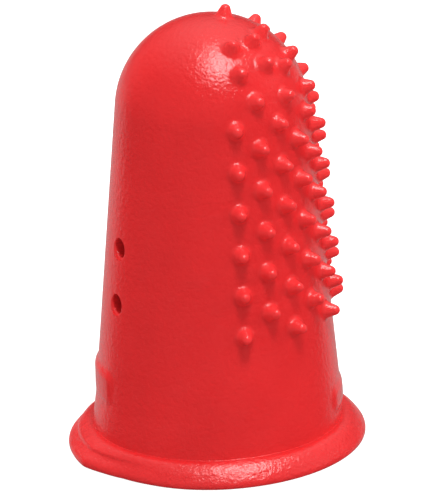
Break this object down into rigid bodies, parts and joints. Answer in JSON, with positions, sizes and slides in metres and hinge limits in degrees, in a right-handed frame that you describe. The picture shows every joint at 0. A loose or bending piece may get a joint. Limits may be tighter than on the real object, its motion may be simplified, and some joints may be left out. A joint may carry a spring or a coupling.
{
  "type": "rubber fingertip",
  "caption": "Red rubber fingertip for sorting paper: a tapered hollow sleeve with a round closed tip, a flanged mouth, air vents on the nail side and grip nubs on the pad side.",
  "frame": {"origin": "centre of the mouth on the underside of the flange", "axes": "+Z along the sleeve's axis towards the closed tip, +X towards the grip side with the nubs, -X towards the nail side with the vents"},
  "size_m": [0.0218, 0.0218, 0.0331],
  "materials": {
    "red_rubber": "smooth moulded rubber, satin sheen"
  },
  "bodies": {
    "root": {"sleeve": "red_rubber", "tip_dome": "red_rubber", "mouth_collar": "red_rubber", "rim_lip": "red_rubber", "nail_side_label_pad": "red_rubber", "grip_side_label_pad": "red_rubber", "nub_column_1": "red_rubber", "nub_column_2": "red_rubber", "nub_column_3": "red_rubber", "nub_column_4": "red_rubber", "nub_column_5": "red_rubber", "nub_column_6": "red_rubber", "nub_column_7": "red_rubber", "nub_column_8": "red_rubber", "nub_column_9": "red_rubber", "nub_column_10": "red_rubber", "nub_column_11": "red_rubber", "nub_column_12": "red_rubber", "nub_column_13": "red_rubber", "low_tip_nubs": "red_rubber", "middle_tip_nubs": "red_rubber", "high_tip_nubs": "red_rubber", "top_tip_nub": "red_rubber"}
  },
  "joints": []
}
